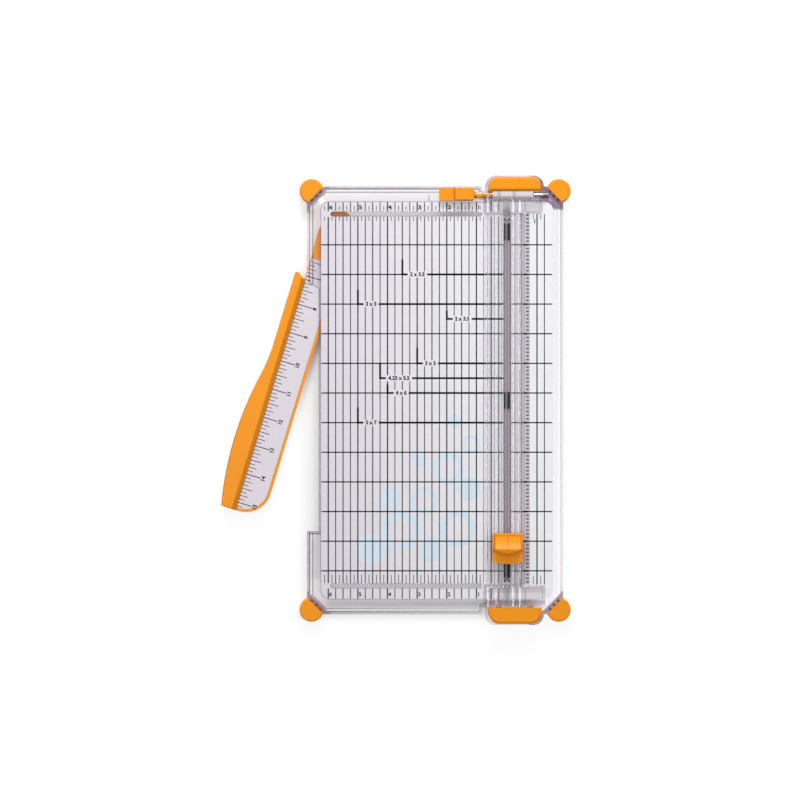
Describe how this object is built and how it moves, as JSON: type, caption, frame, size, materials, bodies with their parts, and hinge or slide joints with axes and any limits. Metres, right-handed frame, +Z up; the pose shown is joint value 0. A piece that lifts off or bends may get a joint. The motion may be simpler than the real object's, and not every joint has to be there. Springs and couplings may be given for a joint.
{
  "type": "paper trimmer",
  "caption": "Portable sliding-blade paper trimmer with a clear ruled deck, hinged clear rail, spring-up blade carriage, release pin and swing-out ruler arm.",
  "frame": {"origin": "on the desk, below the middle of the trimmer's outline with the ruler arm as pictured", "axes": "+X to the right along the rulers, +Y away from the user along the cut line, +Z up"},
  "size_m": [0.2998, 0.3858, 0.0359],
  "materials": {
    "clear_plastic": "clear moulded polystyrene, polished",
    "orange_plastic": "moulded ABS, satin",
    "printed_sheet": "pale printed film",
    "steel": "bright steel",
    "black_rubber": "matt rubber",
    "grey_plastic": "soft grey polypropylene"
  },
  "bodies": {
    "base": {"base_tray": "clear_plastic", "left_measuring_sheet": "printed_sheet", "right_measuring_sheet": "printed_sheet", "foot_rear_left": "orange_plastic", "foot_rear_right": "orange_plastic", "foot_front_left": "orange_plastic", "foot_front_right": "orange_plastic", "hinge_cover": "orange_plastic", "fixed_hinge_pin": "steel", "grip_pads_rear": "black_rubber", "grip_pads_middle": "black_rubber", "grip_pads_front": "black_rubber", "cutting_strip": "grey_plastic", "arm_washer": "steel", "arm_pivot_screw": "steel"},
    "rail": {"rail": "clear_plastic", "lift_handle": "orange_plastic", "cut_line_wire": "steel", "wire_anchors": "steel"},
    "carriage": {"carriage_housing": "orange_plastic", "return_springs": "steel"},
    "cutter": {"thumb_grip": "orange_plastic", "blade_holder": "orange_plastic", "blade": "steel"},
    "arm": {"swing_arm": "orange_plastic", "arm_scale": "printed_sheet"},
    "pin_slide": {"hinge_pin_slide": "orange_plastic"}
  },
  "joints": [
    {"name": "rail_hinge", "type": "hinge", "parent": "base", "child": "rail", "pos_m": [0.1027, 0.17545, 0.0163], "axis": [-1, 0, 0], "range_deg": [0, 60]},
    {"name": "carriage_slide", "type": "slide", "parent": "rail", "child": "carriage", "axis": [0, 1, 0], "range_m": [-0.015, 0.267]},
    {"name": "blade_press", "type": "slide", "parent": "carriage", "child": "cutter", "axis": [0, 0, 1], "range_m": [-0.003, 0], "stiffness_N_per_m": 600, "springref_m": 0.002, "deforming": ["return_springs"]},
    {"name": "arm_swing", "type": "hinge", "parent": "base", "child": "arm", "pos_m": [-0.0456, 0.1361, 0.0083], "axis": [0, 0, -1], "range_deg": [-16.9, 73.1]},
    {"name": "hinge_pin_slide", "type": "slide", "parent": "base", "child": "pin_slide", "axis": [1, 0, 0], "range_m": [-0.008, 0]}
  ]
}
